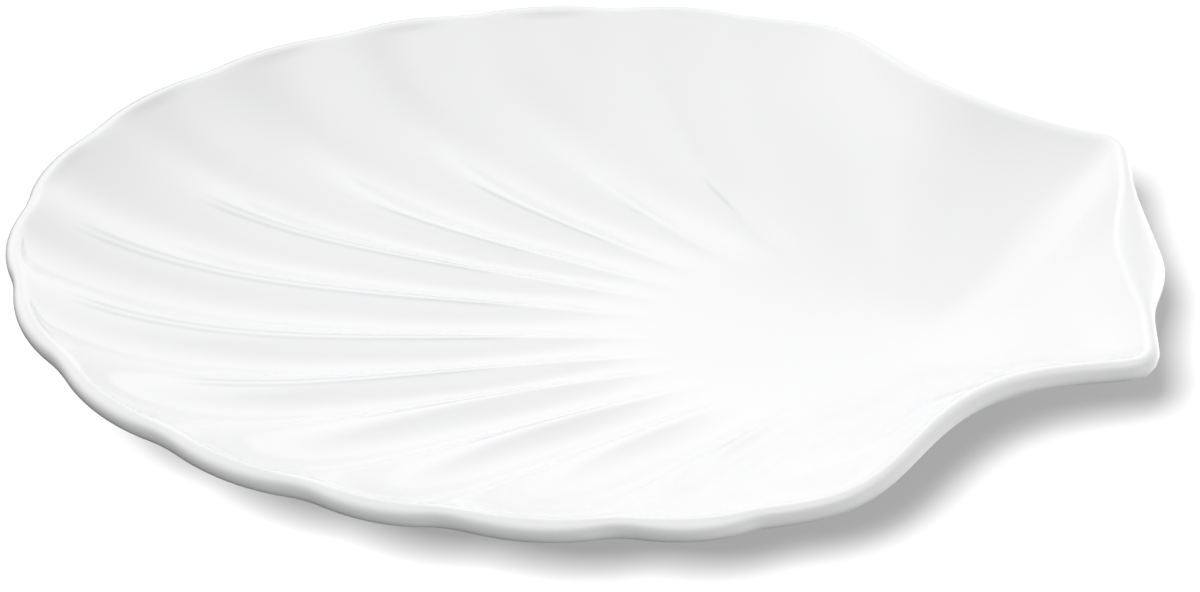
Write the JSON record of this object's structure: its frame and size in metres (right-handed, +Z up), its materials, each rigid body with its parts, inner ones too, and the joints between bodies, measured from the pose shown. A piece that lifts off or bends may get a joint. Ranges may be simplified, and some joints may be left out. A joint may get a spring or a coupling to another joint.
{
  "type": "shell shaped platter",
  "caption": "Shallow scallop-shaped serving platter of white glazed porcelain: a fluted fan that runs in to a smooth hinge end with two ears, a rolled scalloped lip, and an oval foot ring below.",
  "frame": {"origin": "on the table, under the middle of the platter's box", "axes": "+Z up, -X towards the tip of the fan, +X towards the hinge, +Y across the fan"},
  "size_m": [0.3206, 0.2496, 0.0471],
  "materials": {
    "white_glaze": "glossy clear glaze over white porcelain, with a bare matt foot ring"
  },
  "bodies": {
    "root": {"shell_platter": "white_glaze"}
  },
  "joints": []
}
